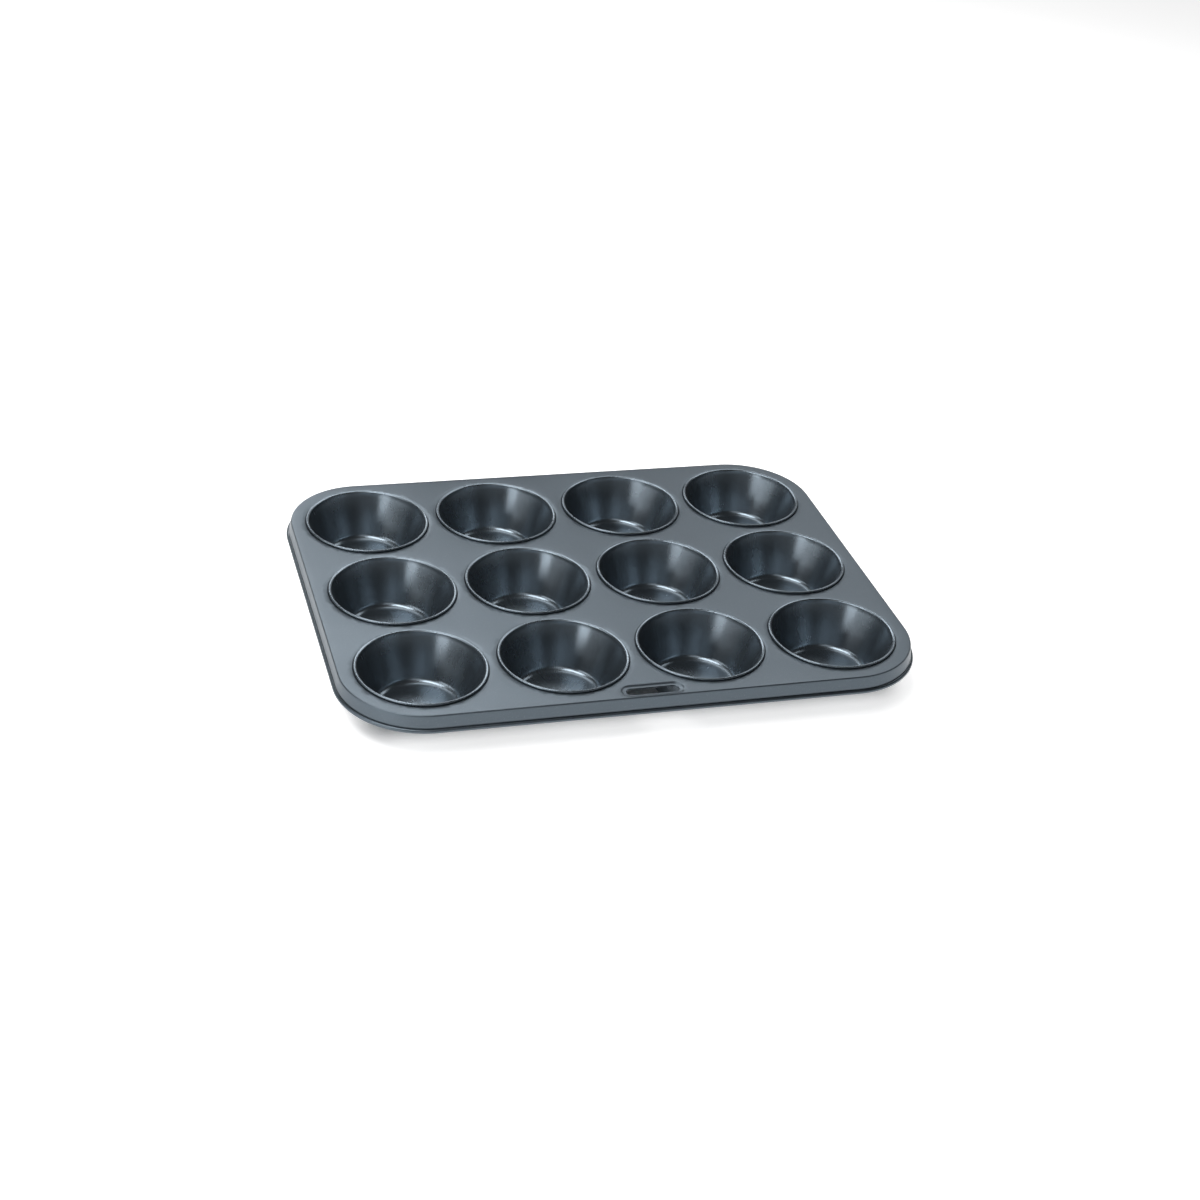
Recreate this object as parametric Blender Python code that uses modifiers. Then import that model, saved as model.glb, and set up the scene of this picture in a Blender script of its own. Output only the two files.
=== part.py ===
"""Muffin tin with twelve cups: a pressed tray with a wired edge, and round cups crimped into its deck.

Metres, +Z up. The origin is on the surface that the cups stand on, under the middle of the tray. +X runs along
the long side. -Y is the front, where the hanging slot is.
"""

import math

import bmesh
import bpy

MM = 0.001

# Driving dimensions
COLUMNS = 4
ROWS = 3
PITCH_X = 80 * MM
PITCH_Y = 80 * MM
SHEET = 0.4 * MM  # steel gauge of the tray and the cups
GAP = 0.3 * MM  # between pieces that touch on the real tin

# Cup: a flat floor, a fillet, a conical wall and a lip curled over the tray
CUP_HEIGHT = 28 * MM
FLOOR_RADIUS = 21.5 * MM  # flat part of the floor
FILLET_RADIUS = 4.5 * MM  # inside, between floor and wall
MOUTH_RADIUS = 34.9 * MM  # inside, at the foot of the lip
LIP_RADIUS = 0.9 * MM  # outside of the curl

# Tray: deck, skirt and the edge rolled round its wire
DECK_X = 331.4 * MM  # the deck's outline, where the skirt turns down
DECK_Y = 251 * MM
CORNER_RADIUS = 45.5 * MM
BEND_RADIUS = 0.8 * MM
SKIRT_DROP = 7.3 * MM
SKIRT_FLARE = 1.2 * MM  # how far the skirt leans out over its drop
BEAD_RADIUS = 1.25 * MM  # outside of the rolled edge
BEAD_OUT = 1.3 * MM  # bead centre beyond the deck's outline
BEAD_DROP = 8.9 * MM  # bead centre below the deck

# Hanging slot, in a shallow pressed recess with its edge turned down
SLOT_Y = -118.9 * MM
SLOT_LENGTH = 30 * MM
SLOT_WIDTH = 5.8 * MM
RECESS_LENGTH = 36 * MM
RECESS_WIDTH = 11 * MM
RECESS_WALL = 1.2 * MM  # width of the recess's sloping side
RECESS_DEPTH = 0.7 * MM
SLOT_EDGE_DROP = 1.2 * MM  # turned-down edge, below the recess's floor

# Facets
ROUND_STEPS = 28  # round a cup, and round its hole
FILLET_STEPS = 2
LIP_STEPS = 4
HOOK_STEPS = 2  # inside the lip
CORNER_STEPS = 8  # round each corner of the tray
CURL_STEPS = 7
SLOT_STEPS = 4  # round each quarter of the slot's ends

# Where the lip sits decides the height of the deck
LIP_END_Z = CUP_HEIGHT - LIP_RADIUS
LIP_CENTRE_R = MOUTH_RADIUS + LIP_RADIUS
DECK_TOP_Z = LIP_END_Z - GAP
HOOK_RADIUS = LIP_RADIUS - SHEET
COLLAR_INNER_R = LIP_CENTRE_R - SHEET / 2
COLLAR_OUTER_R = LIP_CENTRE_R + SHEET / 2

NONSTICK = (0.135, 0.165, 0.19, 1)
STEEL_GREY = (0.55, 0.56, 0.57, 1)


def clear_scene():
    for existing in list(bpy.data.objects):
        bpy.data.objects.remove(existing, do_unlink=True)


def new_collection(name):
    collection = bpy.data.collections.new(name)
    bpy.context.scene.collection.children.link(collection)
    return collection


def new_material(name, colour, roughness, metallic):
    material = bpy.data.materials.new(name)
    material.use_nodes = True
    shader = material.node_tree.nodes["Principled BSDF"]
    shader.inputs["Base Color"].default_value = colour
    shader.inputs["Roughness"].default_value = roughness
    shader.inputs["Metallic"].default_value = metallic
    return material


def new_piece(name, data, collection, material=None):
    piece = bpy.data.objects.new(name, data)
    collection.objects.link(piece)
    if material is not None:
        data.materials.append(material)
    return piece


def arc(centre_a, centre_b, radius, start, end, steps):
    """Points on an arc, both ends included, angles in degrees."""
    points = []
    for step in range(steps + 1):
        angle = math.radians(start + (end - start) * step / steps)
        points.append((centre_a + radius * math.cos(angle), centre_b + radius * math.sin(angle)))
    return points


def rounded_rectangle(half_x, half_y, corner, steps):
    """Outline round the origin, anticlockwise. With corner equal to half_y it is a slot with round ends."""
    points = []
    corners = ((1, 1, 0), (-1, 1, 90), (-1, -1, 180), (1, -1, 270))
    for side_x, side_y, start in corners:
        centre_x = side_x * (half_x - corner)
        centre_y = side_y * (half_y - corner)
        for point in arc(centre_x, centre_y, corner, start, start + 90, steps):
            if not points or math.dist(point, points[-1]) > 1e-7:
                points.append(point)
    if math.dist(points[0], points[-1]) <= 1e-7:
        points.pop()
    return points


def loft(name, rings, cap_first, cap_last):
    """A surface through a stack of outlines, each given as its points and its height."""
    surface = bmesh.new()
    loops = []
    for outline, height in rings:
        loops.append([surface.verts.new((x, y, height)) for x, y in outline])
    count = len(loops[0])
    for upper, lower in zip(loops, loops[1:]):
        for i in range(count):
            j = (i + 1) % count
            surface.faces.new((upper[i], lower[i], lower[j], upper[j]))
    if cap_first:
        surface.faces.new(loops[0])
    if cap_last:
        surface.faces.new(reversed(loops[-1]))
    mesh = bpy.data.meshes.new(name)
    surface.to_mesh(mesh)
    surface.free()
    return mesh


def smooth(mesh):
    mesh.shade_smooth()
    mesh.set_sharp_from_angle(angle=math.radians(35))


def cup_places():
    """Name, x and y of each cup: rows counted from the front, columns from the left."""
    places = []
    for row in range(ROWS):
        for column in range(COLUMNS):
            x = (column - (COLUMNS - 1) / 2) * PITCH_X
            y = (row - (ROWS - 1) / 2) * PITCH_Y
            places.append((f"cup_r{row + 1}c{column + 1}", x, y))
    return places


def cup_profile():
    """Radius and height, from the middle of the floor up the inside, over the lip and down the outside."""
    fillet_z = SHEET + FILLET_RADIUS
    run = MOUTH_RADIUS - FLOOR_RADIUS
    rise = LIP_END_Z - fillet_z
    # The wall leaves the fillet where a line from the lip touches it
    touch = math.degrees(math.atan2(rise, run) - math.acos(FILLET_RADIUS / math.hypot(run, rise)))
    points = [(0, SHEET)]
    points += arc(FLOOR_RADIUS, fillet_z, FILLET_RADIUS, -90, touch, FILLET_STEPS)
    points += arc(LIP_CENTRE_R, LIP_END_Z, LIP_RADIUS, 180, 0, LIP_STEPS)
    points += arc(LIP_CENTRE_R, LIP_END_Z, HOOK_RADIUS, 0, 180, HOOK_STEPS)
    points += arc(FLOOR_RADIUS, fillet_z, FILLET_RADIUS + SHEET, touch, -90, FILLET_STEPS)
    points.append((0, 0))
    return points


def make_cup_mesh():
    points = cup_profile()
    edges = [(i, i + 1) for i in range(len(points) - 1)]
    mesh = bpy.data.meshes.new("cup_profile")
    mesh.from_pydata([(radius, 0, height) for radius, height in points], edges, [])
    return mesh


def make_cup(name, x, y, mesh, collection):
    cup = new_piece(name, mesh, collection)
    cup.location = (x, y, 0)
    turn = cup.modifiers.new("turn", "SCREW")
    turn.axis = "Z"
    turn.steps = ROUND_STEPS
    turn.render_steps = ROUND_STEPS
    turn.use_merge_vertices = True
    turn.merge_threshold = 0.00001
    return cup


def edge_section():
    """Outer face of the sheet from the deck's rim to the free end of the curl: distance out, and height."""
    flare = math.degrees(math.atan2(SKIRT_FLARE, SKIRT_DROP))
    points = arc(-BEND_RADIUS, DECK_TOP_Z - BEND_RADIUS, BEND_RADIUS, 90, flare, 2)
    points.append((SKIRT_FLARE, DECK_TOP_Z - SKIRT_DROP))
    # The skirt jogs in and its edge rolls down, out and up round the wire
    points += arc(BEAD_OUT, DECK_TOP_Z - BEAD_DROP, BEAD_RADIUS - SHEET, 165, 448, CURL_STEPS)
    return points


def tray_outline(out):
    """The tray's outline, moved out by a distance."""
    return rounded_rectangle(DECK_X / 2 + out, DECK_Y / 2 + out, CORNER_RADIUS + out, CORNER_STEPS)


def slot_outline(length, width):
    outline = rounded_rectangle(length / 2, width / 2, width / 2, SLOT_STEPS)
    return [(x, y + SLOT_Y) for x, y in outline]


def make_discs(name, radius, low, high, collection):
    """One disc at each cup, from one height to another."""
    discs = bmesh.new()
    for _, x, y in cup_places():
        made = bmesh.ops.create_cone(
            discs, cap_ends=True, segments=ROUND_STEPS, radius1=radius, radius2=radius, depth=high - low
        )
        bmesh.ops.translate(discs, verts=made["verts"], vec=(x, y, (low + high) / 2))
    mesh = bpy.data.meshes.new(name)
    discs.to_mesh(mesh)
    discs.free()
    return new_piece(name, mesh, collection)


def make_slot_well(collection):
    """The metal pressed down round the slot."""
    floor_z = DECK_TOP_Z - RECESS_DEPTH
    wall = 2 * RECESS_WALL
    edge = 2 * SHEET
    well = slot_outline(RECESS_LENGTH + edge, RECESS_WIDTH + edge)
    floor = slot_outline(RECESS_LENGTH - wall + edge, RECESS_WIDTH - wall + edge)
    lip = slot_outline(SLOT_LENGTH + edge, SLOT_WIDTH + edge)
    rings = [
        (well, DECK_TOP_Z - SHEET / 2),
        (well, DECK_TOP_Z - SHEET),
        (floor, floor_z - SHEET),
        (lip, floor_z - SHEET),
        (lip, floor_z - SLOT_EDGE_DROP),
    ]
    return new_piece("slot_well", loft("slot_well", rings, True, True), collection)


def make_slot_cutter(collection):
    """The recess and the slot through it."""
    floor_z = DECK_TOP_Z - RECESS_DEPTH
    wall = 2 * RECESS_WALL
    opening = slot_outline(SLOT_LENGTH, SLOT_WIDTH)
    rings = [
        (slot_outline(RECESS_LENGTH, RECESS_WIDTH), DECK_TOP_Z + SHEET),
        (slot_outline(RECESS_LENGTH, RECESS_WIDTH), DECK_TOP_Z),
        (slot_outline(RECESS_LENGTH - wall, RECESS_WIDTH - wall), floor_z),
        (opening, floor_z),
        (opening, floor_z - 2 * SLOT_EDGE_DROP),
    ]
    return new_piece("slot_cutter", loft("slot_cutter", rings, True, True), collection)


def combine(target, tool, operation):
    tool.hide_render = True
    tool.display_type = "WIRE"
    modifier = target.modifiers.new(f"{operation.lower()}_{tool.name}", "BOOLEAN")
    modifier.operation = operation
    modifier.object = tool
    modifier.solver = "EXACT"


def make_tray(parts, cutters, material):
    rings = [(tray_outline(out), height) for out, height in edge_section()]
    mesh = loft("tray", rings, True, False)
    smooth(mesh)
    tray = new_piece("tray", mesh, parts, material)
    sheet = tray.modifiers.new("sheet", "SOLIDIFY")
    sheet.thickness = SHEET
    sheet.offset = -1
    sheet.use_even_offset = True
    collars = make_discs("collar_discs", COLLAR_OUTER_R, DECK_TOP_Z - SHEET / 2, DECK_TOP_Z + GAP, cutters)
    holes = make_discs("cup_holes", COLLAR_INNER_R, DECK_TOP_Z - 4 * SHEET, DECK_TOP_Z + 4 * SHEET, cutters)
    combine(tray, collars, "UNION")
    combine(tray, make_slot_well(cutters), "UNION")
    combine(tray, holes, "DIFFERENCE")
    combine(tray, make_slot_cutter(cutters), "DIFFERENCE")
    return tray


def make_rim_wire(collection, material):
    path = bpy.data.curves.new("rim_wire", "CURVE")
    path.dimensions = "3D"
    outline = tray_outline(BEAD_OUT)
    spline = path.splines.new("POLY")
    spline.points.add(len(outline) - 1)
    for point, (x, y) in zip(spline.points, outline):
        point.co = (x, y, 0, 1)
    spline.use_cyclic_u = True
    path.bevel_depth = BEAD_RADIUS - SHEET - GAP
    path.bevel_resolution = 2
    wire = new_piece("rim_wire", path, collection, material)
    wire.location = (0, 0, DECK_TOP_Z - BEAD_DROP)
    return wire


def main():
    clear_scene()
    parts = new_collection("muffin_tin")
    cutters = new_collection("muffin_tin_cutters")
    tray_coating = new_material("tray_coating", NONSTICK, 0.38, 0.55)
    cup_coating = new_material("cup_coating", NONSTICK, 0.3, 0.55)
    bare_wire = new_material("rim_wire_steel", STEEL_GREY, 0.35, 1)

    base = bpy.data.objects.new("muffin_tin", None)
    parts.objects.link(base)
    pieces = [make_tray(parts, cutters, tray_coating), make_rim_wire(parts, bare_wire)]
    cup_mesh = make_cup_mesh()
    cup_mesh.materials.append(cup_coating)
    for name, x, y in cup_places():
        pieces.append(make_cup(name, x, y, cup_mesh, parts))
    for piece in pieces:
        piece.parent = base


main()
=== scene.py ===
"""Looks of the muffin tin: fine cups, tray and edge wire for the CAD nodes, coating, light and camera.

Metres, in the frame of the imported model: +Z up, the front margin with the hanging slot at -Y.
"""

import math

import bmesh
import bpy
from mathutils import Matrix, Vector, noise
from mathutils.geometry import delaunay_2d_cdt


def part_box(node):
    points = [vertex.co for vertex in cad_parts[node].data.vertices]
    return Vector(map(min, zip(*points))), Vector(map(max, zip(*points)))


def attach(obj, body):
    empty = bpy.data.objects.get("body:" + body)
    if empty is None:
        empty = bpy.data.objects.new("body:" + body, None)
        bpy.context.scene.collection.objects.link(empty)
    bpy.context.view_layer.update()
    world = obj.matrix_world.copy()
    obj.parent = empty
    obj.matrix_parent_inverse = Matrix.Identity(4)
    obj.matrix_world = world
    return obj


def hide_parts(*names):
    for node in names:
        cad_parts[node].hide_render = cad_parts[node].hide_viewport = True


MM = 0.001
SHARP_ANGLE = 38  # degrees between faces from which an edge is drawn sharp

# The sheet and its gaps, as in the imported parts
SHEET = 0.4 * MM
GAP = 0.3 * MM

# Cup
FLOOR_RADIUS = 21.5 * MM
FILLET_RADIUS = 4.5 * MM
LIP_RADIUS = 0.9 * MM
LIP_INSIDE = 1.2 * MM  # from the mouth to the lip's crest, which lies towards its outside
LIP_TUCK = 40  # degrees the lip curls under on the outside
LIP_THINNED = 0.75  # the lip's outer leg, as a share of the sheet
LIP_WOBBLE = 0.05 * MM  # how far a lip is out of round
WOBBLE_SCALE = 1.6
WOBBLE_FROM = 0.85  # share of the height where it begins
ROUND_STEPS = 168
CUP_FLOOR_STEPS = 8
FILLET_STEPS = 14
WALL_STEPS = 12
LIP_STEPS = 26
HOOK_STEPS = 16

# Tray
BEND_RADIUS = 0.8 * MM
SKIRT_DROP = 7.3 * MM
SKIRT_FLARE = 1.2 * MM
BEAD_RADIUS = 1.25 * MM
BEAD_OUT = 1.3 * MM
BEAD_DROP = 8.9 * MM
CORNER_RADIUS = 45.5 * MM
CORNER_STEPS = 30
OUTLINE_STEP = 4 * MM  # between points along the straight sides
DECK_STEP = 2.6 * MM  # between points on the deck
ROW_SHARE = 0.87  # of a step between rows of them, so that their triangles are even
RIM_CLEAR = DECK_STEP * 0.7  # how far they keep from the rim, the holes and the recess
HOLE_CLEAR = DECK_STEP * 0.6
RECESS_CLEAR = DECK_STEP * 0.5
CURL_START = 165  # degrees round the wire, from its inner side under it and up its outside
CURL_END = 448
COLLAR_FILLET = 0.25 * MM
COLLAR_RISE = 0.4 * MM  # its top above the deck, inside the cup's lip
GROOVE_REACH = 0.55 * MM  # how far the groove round each cup shows outside the lip
GROOVE_DEPTH = 0.5 * MM
GROOVE_FLOOR = 0.1 * MM  # how far its floor reaches outside the lip
DECK_SAG = 0.06 * MM  # how far the deck is drawn down round each cup
SAG_REACH = 8 * MM  # from a cup's groove to where the deck is flat again
DECK_WAVE = 0.07 * MM
WAVE_SCALE = 17
WAVE_SEED = 3.1

# Hanging slot
SLOT_LENGTH = 30 * MM
SLOT_WIDTH = 5.8 * MM
SLOT_FROM_EDGE = 6.6 * MM  # its middle line behind the deck's front edge
RECESS_LENGTH = 36 * MM
RECESS_WIDTH = 11 * MM
RECESS_WALL = 1.2 * MM
RECESS_DEPTH = 0.7 * MM
RECESS_MARGIN = 0.3 * MM  # of flat deck round the recess, where its ring of points lies
SLOT_EDGE_RADIUS = 0.35 * MM
SLOT_EDGE_DROP = 0.8 * MM
SLOT_STEPS = 12

# Coating: one slate, darker on the tray and lighter on the cups, which is painted shade on the tray and
# painted light in the cups
TRAY_SLATE_PAINTED_SHADE = (0.094, 0.115, 0.134)
CUP_SLATE_PAINTED_LIGHT = (0.165, 0.198, 0.227)
PEEL_DEPTH = 0.008 * MM

# Floor: how brightly it glows, and the rectangle under the tin where it does not: a painted shadow under
# the tin
FLOOR_HALF = 12
FLOOR_DROP = 0.2 * MM  # keeps it clear of the undersides of the cups
FLOOR_GLOW = 0.72
PAINTED_SHADOW_Y = 4 * MM
PAINTED_SHADOW_HALF_X = 140 * MM
PAINTED_SHADOW_HALF_Y = 95 * MM
PAINTED_SHADOW_EDGE = 25 * MM

LAMP_DISTANCE = 1.4

# Studio wall: its glow, and the sines of the elevations where it begins to fade and has faded
WALL_GLOW = 0.75
WALL_FULL = 0.03
WALL_END = 0.2
CEILING_GLOW = 0.03

# Camera: degrees clockwise from +Y, down from level and rolled, and the lens in millimetres
CAMERA_PLACE = (-0.3338, -0.9855, 0.6498)
CAMERA_AZIMUTH = 19.0
CAMERA_DOWN = 31.56
CAMERA_ROLL = -5.82
CAMERA_LENS = 61.73


def arc(centre_a, centre_b, radius, start, end, steps):
    """Points on an arc, both ends included, angles in degrees."""
    points = []
    for step in range(steps + 1):
        angle = math.radians(start + (end - start) * step / steps)
        points.append((centre_a + radius * math.cos(angle), centre_b + radius * math.sin(angle)))
    return points


def squashed_arc(centre_a, centre_b, left, right, height, start, end, steps):
    """Points on an arc with one width on its left and another on its right."""
    points = []
    for a, b in arc(0, 0, 1, start, end, steps):
        points.append((centre_a + a * (left if a < 0 else right), centre_b + b * height))
    return points


def line(start, end, steps):
    """Points between two points, the ends left out."""
    return [
        tuple(a + (b - a) * step / steps for a, b in zip(start, end)) for step in range(1, steps)
    ]


def new_object(name, mesh, *materials):
    made = bpy.data.objects.new(name, mesh)
    bpy.context.scene.collection.objects.link(made)
    for material in materials:
        mesh.materials.append(material)
    return made


def finish_mesh(bm, name, place):
    """A smooth mesh for an object that stands at the place."""
    bmesh.ops.recalc_face_normals(bm, faces=bm.faces)
    bm.transform(place.inverted())
    mesh = bpy.data.meshes.new(name)
    bm.to_mesh(mesh)
    bm.free()
    mesh.shade_smooth()
    mesh.set_sharp_from_angle(angle=math.radians(SHARP_ANGLE))
    return mesh


def nearest_core(x, y, half_x, half_y, corner):
    """The point nearest to x, y on the rectangle of a rounded rectangle's corner centres."""
    core_x = max(-(half_x - corner), min(half_x - corner, x))
    core_y = max(-(half_y - corner), min(half_y - corner, y))
    return core_x, core_y


# Cups


def cup_profile(height, mouth):
    """Radius and height, from the middle of the floor up the inside, over the lip and down the outside."""
    lip_z = height - LIP_RADIUS
    fillet_z = SHEET + FILLET_RADIUS
    run = mouth - FLOOR_RADIUS
    rise = lip_z - fillet_z
    touch = math.degrees(math.atan2(rise, run) - math.acos(FILLET_RADIUS / math.hypot(run, rise)))
    inside = arc(FLOOR_RADIUS, fillet_z, FILLET_RADIUS, -90, touch, FILLET_STEPS)
    outside = arc(FLOOR_RADIUS, fillet_z, FILLET_RADIUS + SHEET, touch, -90, FILLET_STEPS)
    crest = mouth + LIP_INSIDE
    outer = 2 * LIP_RADIUS - LIP_INSIDE
    lip = squashed_arc(crest, lip_z, LIP_INSIDE, outer, LIP_RADIUS, 180, -LIP_TUCK, LIP_STEPS)
    under_left = LIP_INSIDE - SHEET
    under_right = outer - LIP_THINNED * SHEET
    under_height = LIP_RADIUS - SHEET
    hook = squashed_arc(crest, lip_z, under_left, under_right, under_height, -LIP_TUCK, 180, HOOK_STEPS)
    points = [(0, SHEET)] + line((0, SHEET), inside[0], CUP_FLOOR_STEPS)
    points += inside + line(inside[-1], lip[0], WALL_STEPS)
    points += lip + hook
    points += line(hook[-1], outside[0], WALL_STEPS) + outside
    points += line(outside[-1], (0, 0), CUP_FLOOR_STEPS) + [(0, 0)]
    return points


def make_cup(node, seed, material):
    low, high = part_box(node)
    middle = (low + high) / 2
    height = high.z - low.z
    mouth = (high.x - low.x) / 2 - 2 * LIP_RADIUS
    bm = bmesh.new()
    rings = []
    for radius, z in cup_profile(height, mouth):
        if radius == 0:
            rings.append([bm.verts.new((middle.x, middle.y, low.z + z))])
            continue
        ring = []
        lip_share = max(0, (z / height - WOBBLE_FROM) / (1 - WOBBLE_FROM)) ** 2
        for step in range(ROUND_STEPS):
            angle = 2 * math.pi * step / ROUND_STEPS
            around = Vector((math.cos(angle), math.sin(angle), 0))
            uneven = noise.noise(around * WOBBLE_SCALE + Vector((seed * 3.7, 0, 0)))
            wobble = LIP_WOBBLE * lip_share * uneven
            at = middle + around * (radius + wobble)
            ring.append(bm.verts.new((at.x, at.y, low.z + z)))
        rings.append(ring)
    for first, second in zip(rings, rings[1:]):
        for i in range(ROUND_STEPS):
            j = (i + 1) % ROUND_STEPS
            if len(first) == 1:
                bm.faces.new((first[0], second[i], second[j]))
            elif len(second) == 1:
                bm.faces.new((first[i], second[0], first[j]))
            else:
                bm.faces.new((first[i], second[i], second[j], first[j]))
    # quarter turns, so that the coating's pattern differs along a row
    turn = Matrix.Rotation(seed % 4 * math.pi / 2, 4, "Z")
    place = Matrix.Translation((middle.x, middle.y, low.z)) @ turn
    cup = new_object("drawn_" + node, finish_mesh(bm, "drawn_" + node, place), material)
    cup.matrix_world = place
    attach(cup, "root")
    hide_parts(node)


# Tray


def outline(half_x, half_y, corner, steps, spacing):
    """Rounded rectangle, anticlockwise, with points along its straight sides too."""
    points = []
    for side_x, side_y, start in ((1, 1, 0), (-1, 1, 90), (-1, -1, 180), (1, -1, 270)):
        centre_x = side_x * (half_x - corner)
        centre_y = side_y * (half_y - corner)
        corner_points = arc(centre_x, centre_y, corner, start, start + 90, steps)
        if points and spacing:
            count = max(1, round(math.dist(points[-1], corner_points[0]) / spacing))
            points += line(points[-1], corner_points[0], count)
        points += [p for p in corner_points if not points or math.dist(p, points[-1]) > 1e-7]
    if spacing:
        count = max(1, round(math.dist(points[-1], points[0]) / spacing))
        points += line(points[-1], points[0], count)
    if math.dist(points[0], points[-1]) <= 1e-7:
        points.pop()
    return points


def offset_outline(points, half_x, half_y, corner, out):
    """The same points moved out along the outline's normal, so that rings of them match."""
    moved = []
    for x, y in points:
        core_x, core_y = nearest_core(x, y, half_x, half_y, corner)
        away = Vector((x - core_x, y - core_y))
        away = away / away.length
        moved.append((x + away.x * out, y + away.y * out))
    return moved


def circle(x, y, radius, steps):
    return [
        (x + radius * math.cos(2 * math.pi * i / steps), y + radius * math.sin(2 * math.pi * i / steps))
        for i in range(steps)
    ]


def deck_height(x, y, cups):
    """How far the deck's surface stands off its plane at a point."""
    pull = 1.0
    for cup_x, cup_y, radius in cups:
        away = max(0, math.hypot(x - cup_x, y - cup_y) - radius)
        pull = min(pull, away / SAG_REACH)
    sag = -DECK_SAG * (0.5 + 0.5 * math.cos(math.pi * pull))
    wave = DECK_WAVE * noise.noise(Vector((x * WAVE_SCALE, y * WAVE_SCALE, WAVE_SEED)))
    # dips go deeper than rises go high
    return sag + min(0, wave) + 0.3 * wave


def grid_points(half_x, half_y, corner, cups, slot):
    """Points spread over the deck, clear of its edge, the cups' holes and the slot."""
    points = []
    slot_y, slot_half, slot_r = slot
    rows = int(2 * half_y / (DECK_STEP * ROW_SHARE))
    for row in range(rows + 1):
        y = -half_y + row * DECK_STEP * ROW_SHARE
        shift = DECK_STEP / 2 if row % 2 else 0
        for column in range(int(2 * half_x / DECK_STEP) + 1):
            x = -half_x + column * DECK_STEP + shift
            core_x, core_y = nearest_core(x, y, half_x, half_y, corner)
            if math.hypot(x - core_x, y - core_y) > corner - RIM_CLEAR:
                continue
            if any(math.hypot(x - a, y - b) < r + HOLE_CLEAR for a, b, r in cups):
                continue
            along = max(-slot_half, min(slot_half, x))
            if math.hypot(x - along, y - slot_y) < slot_r + RECESS_CLEAR:
                continue
            points.append((x, y))
    return points


def fill_deck(bm, loops, extra, inside, height):
    """Triangles between the loops. Returns the vertices of each loop, in its order."""
    points = []
    edges = []
    for loop in loops:
        first = len(points)
        points += loop
        edges += [(first + i, first + (i + 1) % len(loop)) for i in range(len(loop))]
    points += extra
    scaled = [Vector((x / MM, y / MM)) for x, y in points]
    flat, _, faces, sources, _, _ = delaunay_2d_cdt(scaled, edges, [], 0, 1e-5)
    made = [bm.verts.new((p.x * MM, p.y * MM, height(p.x * MM, p.y * MM))) for p in flat]
    place_of = {}
    for index, origin in enumerate(sources):
        for source in origin:
            place_of[source] = index
    for face in faces:
        middle = sum((flat[i] for i in face), Vector((0, 0))) / len(face)
        if inside(middle.x * MM, middle.y * MM):
            bm.faces.new([made[i] for i in face])
    rings = []
    first = 0
    for loop in loops:
        rings.append([made[place_of[first + i]] for i in range(len(loop))])
        first += len(loop)
    return rings


def grow(bm, ring, places):
    """A strip of faces from a ring of vertices to a new ring at the places."""
    new_ring = [bm.verts.new(place) for place in places]
    count = len(ring)
    for i in range(count):
        j = (i + 1) % count
        bm.faces.new((ring[i], ring[j], new_ring[j], new_ring[i]))
    return new_ring


def edge_section(deck_z):
    """From the deck's rim over the bend, down the skirt and round the wire: distance out, and height."""
    flare = math.degrees(math.atan2(SKIRT_FLARE, SKIRT_DROP))
    points = arc(-BEND_RADIUS, deck_z - BEND_RADIUS, BEND_RADIUS, 90, flare, 7)[1:]
    foot = (SKIRT_FLARE, deck_z - SKIRT_DROP)
    points += line(points[-1], foot, 5) + [foot]
    curl = arc(BEAD_OUT, deck_z - BEAD_DROP, BEAD_RADIUS - SHEET, CURL_START, CURL_END, 26)
    points += line(foot, curl[0], 3) + curl
    return points


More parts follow.
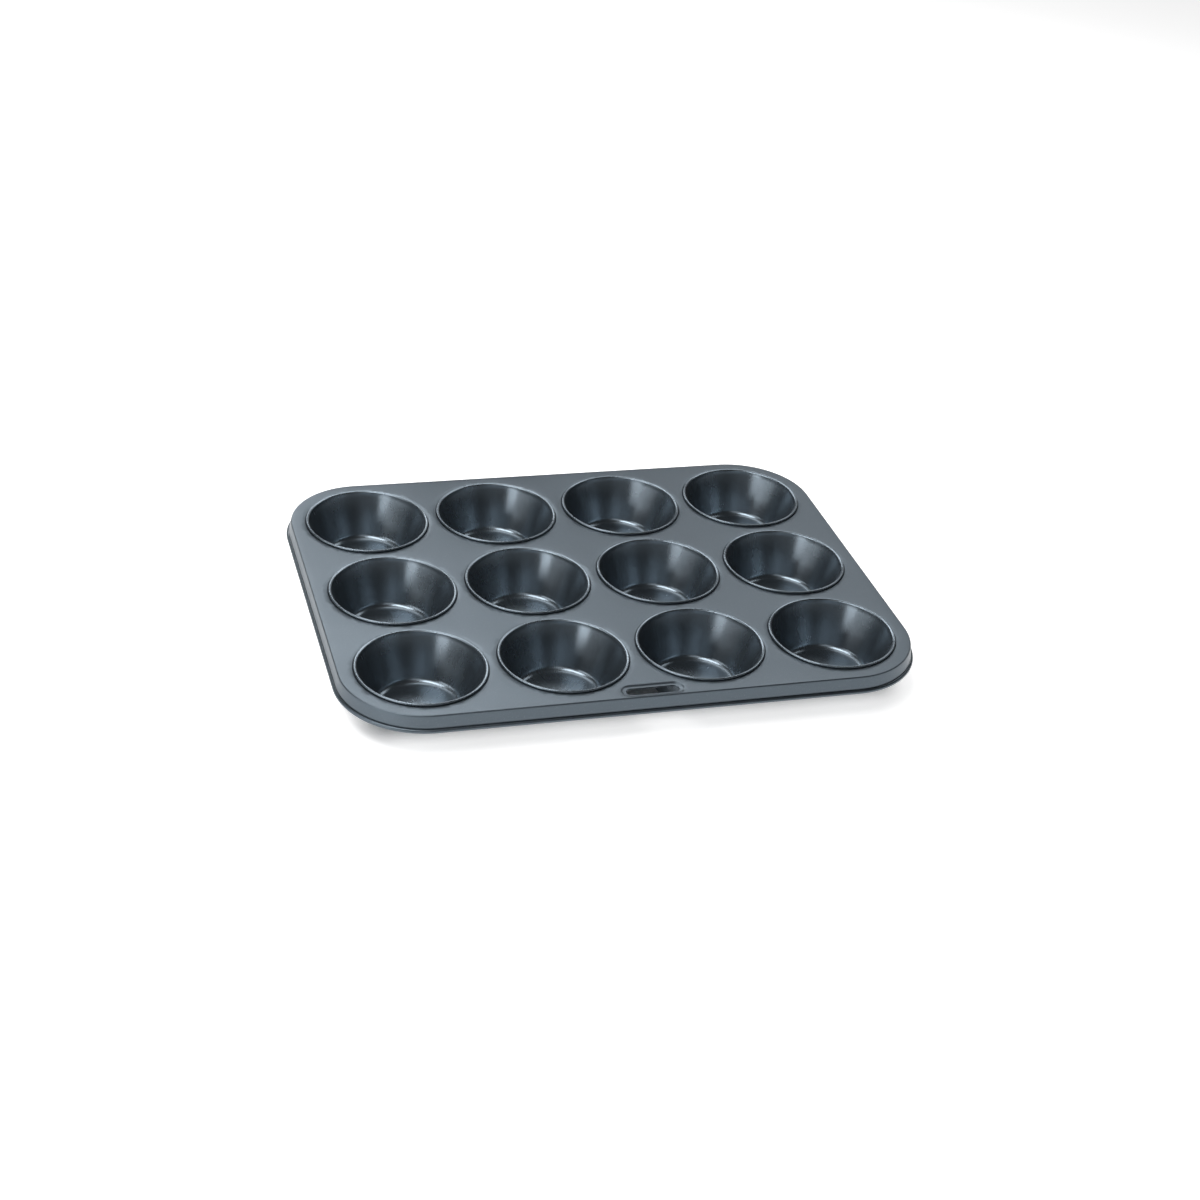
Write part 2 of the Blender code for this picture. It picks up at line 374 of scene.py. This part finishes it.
def make_tray(material):
    low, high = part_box("tray")
    cup_low, cup_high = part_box("cup_r1c1")
    reach = BEAD_OUT + BEAD_RADIUS
    half_x = (high.x - low.x) / 2 - reach
    half_y = (high.y - low.y) / 2 - reach
    deck_z = cup_high.z - LIP_RADIUS - GAP
    lip_r = (cup_high.x - cup_low.x) / 2 - LIP_RADIUS
    collar_r = lip_r + SHEET / 2
    hole_r = lip_r + LIP_RADIUS + GROOVE_REACH
    cups = []
    for node in sorted(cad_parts):
        if node.startswith("cup_"):
            a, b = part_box(node)
            cups.append(((a.x + b.x) / 2, (a.y + b.y) / 2, hole_r))

    slot_y = -half_y + SLOT_FROM_EDGE

    def slot_ring(length, width):
        ring = outline(length / 2, width / 2, width / 2, SLOT_STEPS, 0)
        ring = subdivide_straight(ring)
        return [(x, y + slot_y) for x, y in ring]

    def rise(x, y):
        return deck_z + deck_height(x, y, cups)

    inner_x = half_x - BEND_RADIUS
    inner_y = half_y - BEND_RADIUS
    inner_corner = CORNER_RADIUS - BEND_RADIUS
    rim = outline(inner_x, inner_y, inner_corner, CORNER_STEPS, OUTLINE_STEP)
    holes = [circle(x, y, r, ROUND_STEPS) for x, y, r in cups]
    start_l = RECESS_LENGTH + 2 * RECESS_MARGIN
    start_w = RECESS_WIDTH + 2 * RECESS_MARGIN
    recess = slot_ring(start_l, start_w)
    slot_r = RECESS_WIDTH / 2 + RECESS_MARGIN
    slot_half = (RECESS_LENGTH - RECESS_WIDTH) / 2
    extra = grid_points(inner_x, inner_y, inner_corner, cups, (slot_y, slot_half, slot_r))

    def on_metal(x, y):
        # the rings have flat sides, so the metal comes a little inside their circles
        if any(math.hypot(x - a, y - b) < r * 0.9997 for a, b, r in cups):
            return False
        along = max(-slot_half, min(slot_half, x))
        if math.hypot(x - along, y - slot_y) < slot_r * 0.995:
            return False
        core_x, core_y = nearest_core(x, y, inner_x, inner_y, inner_corner)
        return math.hypot(x - core_x, y - core_y) < inner_corner

    bm = bmesh.new()
    rings = fill_deck(bm, [rim] + holes + [recess], extra, on_metal, rise)

    # Bend, skirt and curl
    ring = rings[0]
    for out, z in edge_section(deck_z):
        moved = offset_outline(rim, inner_x, inner_y, inner_corner, out + BEND_RADIUS)
        # the deck's unevenness dies away down the skirt
        share = max(0, 1 - (deck_z - z) / SKIRT_DROP)
        places = []
        for (x, y), (rim_x, rim_y) in zip(moved, rim):
            places.append((x, y, z + share * deck_height(rim_x, rim_y, cups)))
        ring = grow(bm, ring, places)

    # Groove and collar round each cup, the collar inside the cup's lip
    floor_r = lip_r + LIP_RADIUS + GROOVE_FLOOR
    steps = []
    for share in (0.2, 0.4, 0.6, 0.8, 1):
        # a soft S down from the deck to the groove's floor
        down = GROOVE_DEPTH * (1 - math.cos(math.pi * share)) / 2
        steps.append((hole_r + (floor_r - hole_r) * share, -down))
    fillet = arc(collar_r + COLLAR_FILLET, COLLAR_FILLET - GROOVE_DEPTH, COLLAR_FILLET, -90, -180, 4)
    steps += fillet + [(collar_r, COLLAR_RISE)]
    for ring, (x, y, _) in zip(rings[1:-1], cups):
        for radius, up in steps:
            places = []
            for point in circle(x, y, radius, ROUND_STEPS):
                places.append((point[0], point[1], rise(*point) + up))
            ring = grow(bm, ring, places)

    # Recess and the turned-down edge of the slot
    ring = rings[-1]
    floor_z = deck_z - RECESS_DEPTH
    steps = []
    for share in (0.25, 0.5, 0.75):
        # a soft S from the deck to the recess's floor
        steps.append((share, 0.5 - 0.5 * math.cos(math.pi * share)))
    base = deck_height(0, slot_y, cups)
    end_l = RECESS_LENGTH - 2 * RECESS_WALL
    end_w = RECESS_WIDTH - 2 * RECESS_WALL
    for share, down in steps + [(1, 1)]:
        ring_places = slot_ring(start_l + (end_l - start_l) * share, start_w + (end_w - start_w) * share)
        z = deck_z + base * (1 - share) - RECESS_DEPTH * down
        ring = grow(bm, ring, [(x, y, z) for x, y in ring_places])
    for a, b in arc(-SLOT_EDGE_RADIUS, -SLOT_EDGE_RADIUS, SLOT_EDGE_RADIUS, 90, 0, 5):
        grow_by = 2 * (-a)
        ring_places = slot_ring(SLOT_LENGTH + grow_by, SLOT_WIDTH + grow_by)
        ring = grow(bm, ring, [(x, y, floor_z + b) for x, y in ring_places])
    ring_places = slot_ring(SLOT_LENGTH, SLOT_WIDTH)
    grow(bm, ring, [(x, y, floor_z - SLOT_EDGE_DROP) for x, y in ring_places])

    mesh = bpy.data.meshes.new("pressed_tray")
    bmesh.ops.recalc_face_normals(bm, faces=bm.faces)
    on_deck = [f for f in bm.faces if f.normal.z != 0 and f.calc_center_median().z > deck_z - SHEET / 2]
    if max(on_deck, key=lambda f: f.calc_area()).normal.z < 0:
        bmesh.ops.reverse_faces(bm, faces=bm.faces)
    bm.to_mesh(mesh)
    bm.free()
    tray = new_object("pressed_tray", mesh)
    sheet = tray.modifiers.new("sheet", "SOLIDIFY")
    sheet.thickness = SHEET
    sheet.offset = -1
    sheet.use_even_offset = True
    shaped = tray.evaluated_get(bpy.context.evaluated_depsgraph_get())
    thick = bpy.data.meshes.new_from_object(shaped)
    tray.modifiers.clear()
    tray.data = thick
    thick.name = "pressed_tray"
    thick.shade_smooth()
    thick.set_sharp_from_angle(angle=math.radians(SHARP_ANGLE))
    thick.materials.append(material)
    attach(tray, "root")
    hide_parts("tray")


def subdivide_straight(ring):
    """Adds points to the slot outline's two long sides."""
    finer = []
    for a, b in zip(ring, ring[1:] + ring[:1]):
        finer.append(a)
        if math.dist(a, b) > 5 * MM:
            finer += line(a, b, 12)
    return finer


def make_rim_wire(material):
    low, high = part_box("rim_wire")
    radius = (high.z - low.z) / 2
    half_x = (high.x - low.x) / 2 - radius
    half_y = (high.y - low.y) / 2 - radius
    path = outline(half_x, half_y, CORNER_RADIUS + BEAD_OUT, CORNER_STEPS, OUTLINE_STEP)
    curve = bpy.data.curves.new("edge_wire", "CURVE")
    curve.dimensions = "3D"
    spline = curve.splines.new("POLY")
    spline.points.add(len(path) - 1)
    for point, (x, y) in zip(spline.points, path):
        point.co = (x, y, (low.z + high.z) / 2, 1)
    spline.use_cyclic_u = True
    curve.bevel_depth = radius
    curve.bevel_resolution = 3
    wire = bpy.data.objects.new("edge_wire", curve)
    bpy.context.scene.collection.objects.link(wire)
    curve.materials.append(material)
    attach(wire, "root")
    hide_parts("rim_wire")


# Materials


def coating(name, base, roughness, metallic, seed, drawn=False):
    """Satin non-stick coating: fine orange peel, faint mottling and tiny pale specks.

    A drawn part also has faint streaks that run down its wall, as the punch leaves them.
    """
    material = bpy.data.materials.new(name)
    material.use_nodes = True
    tree = material.node_tree
    nodes, links = tree.nodes, tree.links
    shader = nodes["Principled BSDF"]
    shader.inputs["Metallic"].default_value = metallic
    shader.inputs["IOR"].default_value = 1.5
    place = nodes.new("ShaderNodeTexCoord").outputs["Object"]

    def texture(scale, detail, offset):
        shift = nodes.new("ShaderNodeMapping")
        shift.inputs["Location"].default_value = (offset, seed, -offset)
        links.new(place, shift.inputs["Vector"])
        made = nodes.new("ShaderNodeTexNoise")
        made.inputs["Scale"].default_value = scale
        made.inputs["Detail"].default_value = detail
        links.new(shift.outputs["Vector"], made.inputs["Vector"])
        return made.outputs["Fac"]

    def spread(value, low, high, to_low, to_high):
        made = nodes.new("ShaderNodeMapRange")
        made.inputs["From Min"].default_value = low
        made.inputs["From Max"].default_value = high
        made.inputs["To Min"].default_value = to_low
        made.inputs["To Max"].default_value = to_high
        links.new(value, made.inputs["Value"])
        return made.outputs["Result"]

    mottle = texture(scale=35, detail=3, offset=0.13)
    grain = texture(scale=1500, detail=2, offset=0.31)
    peel = texture(scale=1700, detail=1, offset=0.57)

    shade = nodes.new("ShaderNodeMix")
    shade.data_type = "RGBA"
    shade.inputs["A"].default_value = tuple(c * 0.94 for c in base) + (1,)
    shade.inputs["B"].default_value = tuple(c * 1.06 for c in base) + (1,)
    links.new(mottle, shade.inputs["Factor"])
    speck = nodes.new("ShaderNodeMix")
    speck.data_type = "RGBA"
    speck.inputs["B"].default_value = tuple(min(1, c * 1.7) for c in base) + (1,)
    links.new(spread(grain, 0.6, 0.78, 0, 0.5), speck.inputs["Factor"])
    links.new(shade.outputs["Result"], speck.inputs["A"])
    links.new(speck.outputs["Result"], shader.inputs["Base Color"])
    gloss = spread(mottle, 0.3, 0.7, roughness - 0.03, roughness + 0.03)
    if drawn:
        # marks that run round the cup draw its highlights out up and down the wall
        shader.inputs["Anisotropic"].default_value = 0.4
        shader.inputs["Anisotropic Rotation"].default_value = 0.25
        grain_way = nodes.new("ShaderNodeTangent")
        grain_way.direction_type = "RADIAL"
        grain_way.axis = "Z"
        links.new(grain_way.outputs["Tangent"], shader.inputs["Tangent"])
        flat = nodes.new("ShaderNodeVectorMath")
        flat.operation = "MULTIPLY"
        flat.inputs[1].default_value = (1, 1, 0)
        links.new(place, flat.inputs[0])
        around = nodes.new("ShaderNodeVectorMath")
        around.operation = "NORMALIZE"
        links.new(flat.outputs["Vector"], around.inputs[0])
        down = nodes.new("ShaderNodeVectorMath")
        down.operation = "MULTIPLY_ADD"
        down.inputs[1].default_value = (0, 0, 9)
        links.new(place, down.inputs[0])
        links.new(around.outputs["Vector"], down.inputs[2])
        streak = nodes.new("ShaderNodeTexNoise")
        streak.inputs["Scale"].default_value = 9
        streak.inputs["Detail"].default_value = 2
        links.new(down.outputs["Vector"], streak.inputs["Vector"])
        worn = nodes.new("ShaderNodeMath")
        worn.operation = "ADD"
        links.new(gloss, worn.inputs[0])
        links.new(spread(streak.outputs["Fac"], 0.3, 0.7, -0.01, 0.01), worn.inputs[1])
        gloss = worn.outputs["Value"]
    links.new(gloss, shader.inputs["Roughness"])

    bump = nodes.new("ShaderNodeBump")
    bump.inputs["Strength"].default_value = 0.3
    bump.inputs["Distance"].default_value = PEEL_DEPTH
    links.new(peel, bump.inputs["Height"])
    links.new(bump.outputs["Normal"], shader.inputs["Normal"])
    return material


def wire_steel():
    material = bpy.data.materials.new("drawn_wire_steel")
    material.use_nodes = True
    nodes, links = material.node_tree.nodes, material.node_tree.links
    shader = nodes["Principled BSDF"]
    shader.inputs["Metallic"].default_value = 1
    made = nodes.new("ShaderNodeTexNoise")
    made.inputs["Scale"].default_value = 900
    place = nodes.new("ShaderNodeTexCoord").outputs["Object"]
    links.new(place, made.inputs["Vector"])
    ramp = nodes.new("ShaderNodeValToRGB")
    ramp.color_ramp.elements[0].color = (0.42, 0.43, 0.44, 1)
    ramp.color_ramp.elements[1].color = (0.62, 0.63, 0.64, 1)
    links.new(made.outputs["Fac"], ramp.inputs["Fac"])
    links.new(ramp.outputs["Color"], shader.inputs["Base Color"])
    shader.inputs["Roughness"].default_value = 0.35
    return material


# Studio


def softbox(name, azimuth, elevation, width, height, radiance):
    """An area light aimed at the tin. Azimuth is anticlockwise from +X, seen from above."""
    light = bpy.data.lights.new(name, "AREA")
    light.shape = "RECTANGLE"
    light.size = width
    light.size_y = height
    light.energy = radiance * math.pi * width * height
    lamp = bpy.data.objects.new(name, light)
    bpy.context.scene.collection.objects.link(lamp)
    a, e = math.radians(azimuth), math.radians(elevation)
    away = Vector((math.cos(a) * math.cos(e), math.sin(a) * math.cos(e), math.sin(e)))
    lamp.location = away * LAMP_DISTANCE
    lamp.rotation_euler = away.to_track_quat("Z", "Y").to_euler()
    lamp.visible_camera = False


def studio_white_painted_shadow():
    """White paper that glows evenly, except in a soft rectangle under the tin where the glow stops: a
    painted shadow under the tin.
    """
    white = bpy.data.materials.new("studio_white_painted_shadow")
    white.use_nodes = True
    nodes, links = white.node_tree.nodes, white.node_tree.links
    shader = nodes["Principled BSDF"]
    shader.inputs["Base Color"].default_value = (0.8, 0.8, 0.8, 1)
    shader.inputs["Roughness"].default_value = 0.9
    shader.inputs["Emission Color"].default_value = (1, 1, 1, 1)

    def vector_math(operation, *values):
        made = nodes.new("ShaderNodeVectorMath")
        made.operation = operation
        for socket, value in zip(made.inputs, values):
            if isinstance(value, tuple):
                socket.default_value = value
            else:
                links.new(value, socket)
        return made.outputs["Value" if operation == "LENGTH" else "Vector"]

    place = nodes.new("ShaderNodeTexCoord").outputs["Object"]
    # the glow fades away in a soft rectangle under the tin: a painted shadow under it
    middle = vector_math("SUBTRACT", place, (0, PAINTED_SHADOW_Y, 0))
    beyond = vector_math("SUBTRACT", vector_math("ABSOLUTE", middle), (PAINTED_SHADOW_HALF_X, PAINTED_SHADOW_HALF_Y, 0))
    away = vector_math("LENGTH", vector_math("MAXIMUM", beyond, (0, 0, 0)))
    edge = nodes.new("ShaderNodeMapRange")
    edge.interpolation_type = "SMOOTHSTEP"
    edge.inputs["From Max"].default_value = PAINTED_SHADOW_EDGE
    links.new(away, edge.inputs["Value"])
    glow = nodes.new("ShaderNodeMath")
    glow.operation = "MULTIPLY"
    glow.inputs[1].default_value = FLOOR_GLOW
    links.new(edge.outputs["Result"], glow.inputs[0])
    links.new(glow.outputs["Value"], shader.inputs["Emission Strength"])
    return white


def studio_air():
    """A pale wall all round, as bright as the floor where they meet, under a dark ceiling."""
    air = bpy.data.worlds.new("studio_air")
    air.use_nodes = True
    nodes, links = air.node_tree.nodes, air.node_tree.links
    height = nodes.new("ShaderNodeSeparateXYZ")
    links.new(nodes.new("ShaderNodeTexCoord").outputs["Generated"], height.inputs["Vector"])
    wall = nodes.new("ShaderNodeMapRange")
    wall.interpolation_type = "SMOOTHSTEP"
    wall.inputs["From Min"].default_value = WALL_FULL
    wall.inputs["From Max"].default_value = WALL_END
    wall.inputs["To Min"].default_value = WALL_GLOW
    wall.inputs["To Max"].default_value = CEILING_GLOW
    links.new(height.outputs["Z"], wall.inputs["Value"])
    background = nodes["Background"]
    background.inputs["Color"].default_value = (0.96, 0.98, 1, 1)
    links.new(wall.outputs["Result"], background.inputs["Strength"])
    return air


def make_studio():
    far = FLOOR_HALF
    floor_mesh = bpy.data.meshes.new("studio_floor")
    corners = [(-far, -far, 0), (far, -far, 0), (far, far, 0), (-far, far, 0)]
    floor_mesh.from_pydata(corners, [], [(0, 1, 2, 3)])
    floor = new_object("studio_floor", floor_mesh, studio_white_painted_shadow())
    floor.location.z = -FLOOR_DROP

    softbox("key_box", azimuth=210, elevation=60, width=0.95, height=0.45, radiance=8)
    softbox("left_box", azimuth=190, elevation=25, width=0.95, height=0.45, radiance=3.5)
    softbox("low_left_box", azimuth=220, elevation=8, width=0.45, height=0.45, radiance=3.5)
    softbox("front_box", azimuth=260, elevation=40, width=0.5, height=0.45, radiance=1.2)
    softbox("right_box", azimuth=41, elevation=45, width=0.9, height=0.45, radiance=2.8)
    softbox("back_right_box", azimuth=60, elevation=25, width=0.45, height=0.45, radiance=1)
    softbox("back_box", azimuth=100, elevation=25, width=0.45, height=0.45, radiance=4)
    softbox("back_high_box", azimuth=85, elevation=45, width=0.5, height=0.45, radiance=5.5)
    softbox("top_box", azimuth=120, elevation=70, width=0.5, height=0.9, radiance=2)

    bpy.context.scene.world = studio_air()
    bpy.context.scene.view_settings.view_transform = "Standard"


def make_camera():
    azimuth, down, roll = (math.radians(v) for v in (CAMERA_AZIMUTH, CAMERA_DOWN, CAMERA_ROLL))
    ahead = Vector((math.sin(azimuth), math.cos(azimuth), 0))
    forward = math.cos(down) * ahead - Vector((0, 0, math.sin(down)))
    level = Vector((math.cos(azimuth), -math.sin(azimuth), 0))
    below = forward.cross(level)
    right = math.cos(roll) * level + math.sin(roll) * below
    lower = -math.sin(roll) * level + math.cos(roll) * below
    data = bpy.data.cameras.new("camera")
    data.lens = CAMERA_LENS
    data.sensor_width = 36
    data.clip_start = 0.01
    data.clip_end = 100
    camera = bpy.data.objects.new("camera", data)
    bpy.context.scene.collection.objects.link(camera)
    axes = Matrix((right, -lower, -forward)).transposed()
    camera.matrix_world = Matrix.Translation(CAMERA_PLACE) @ axes.to_4x4()
    bpy.context.scene.camera = camera


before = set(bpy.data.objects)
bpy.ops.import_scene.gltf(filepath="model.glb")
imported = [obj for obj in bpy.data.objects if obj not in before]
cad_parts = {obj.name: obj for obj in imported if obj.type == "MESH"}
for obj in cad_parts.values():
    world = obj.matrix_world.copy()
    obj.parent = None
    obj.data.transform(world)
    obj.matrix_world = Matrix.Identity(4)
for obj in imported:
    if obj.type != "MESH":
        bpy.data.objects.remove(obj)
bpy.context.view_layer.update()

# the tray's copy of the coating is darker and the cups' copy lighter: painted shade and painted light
tray_coat = coating("tray_nonstick", TRAY_SLATE_PAINTED_SHADE, roughness=0.38, metallic=0.9, seed=1)
cup_coat = coating("cup_nonstick", CUP_SLATE_PAINTED_LIGHT, roughness=0.26, metallic=0.9, seed=2, drawn=True)
make_tray(tray_coat)
make_rim_wire(wire_steel())
for number, cup_node in enumerate(n for n in sorted(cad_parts) if n.startswith("cup_")):
    make_cup(cup_node, number, cup_coat)
make_camera()
make_studio()
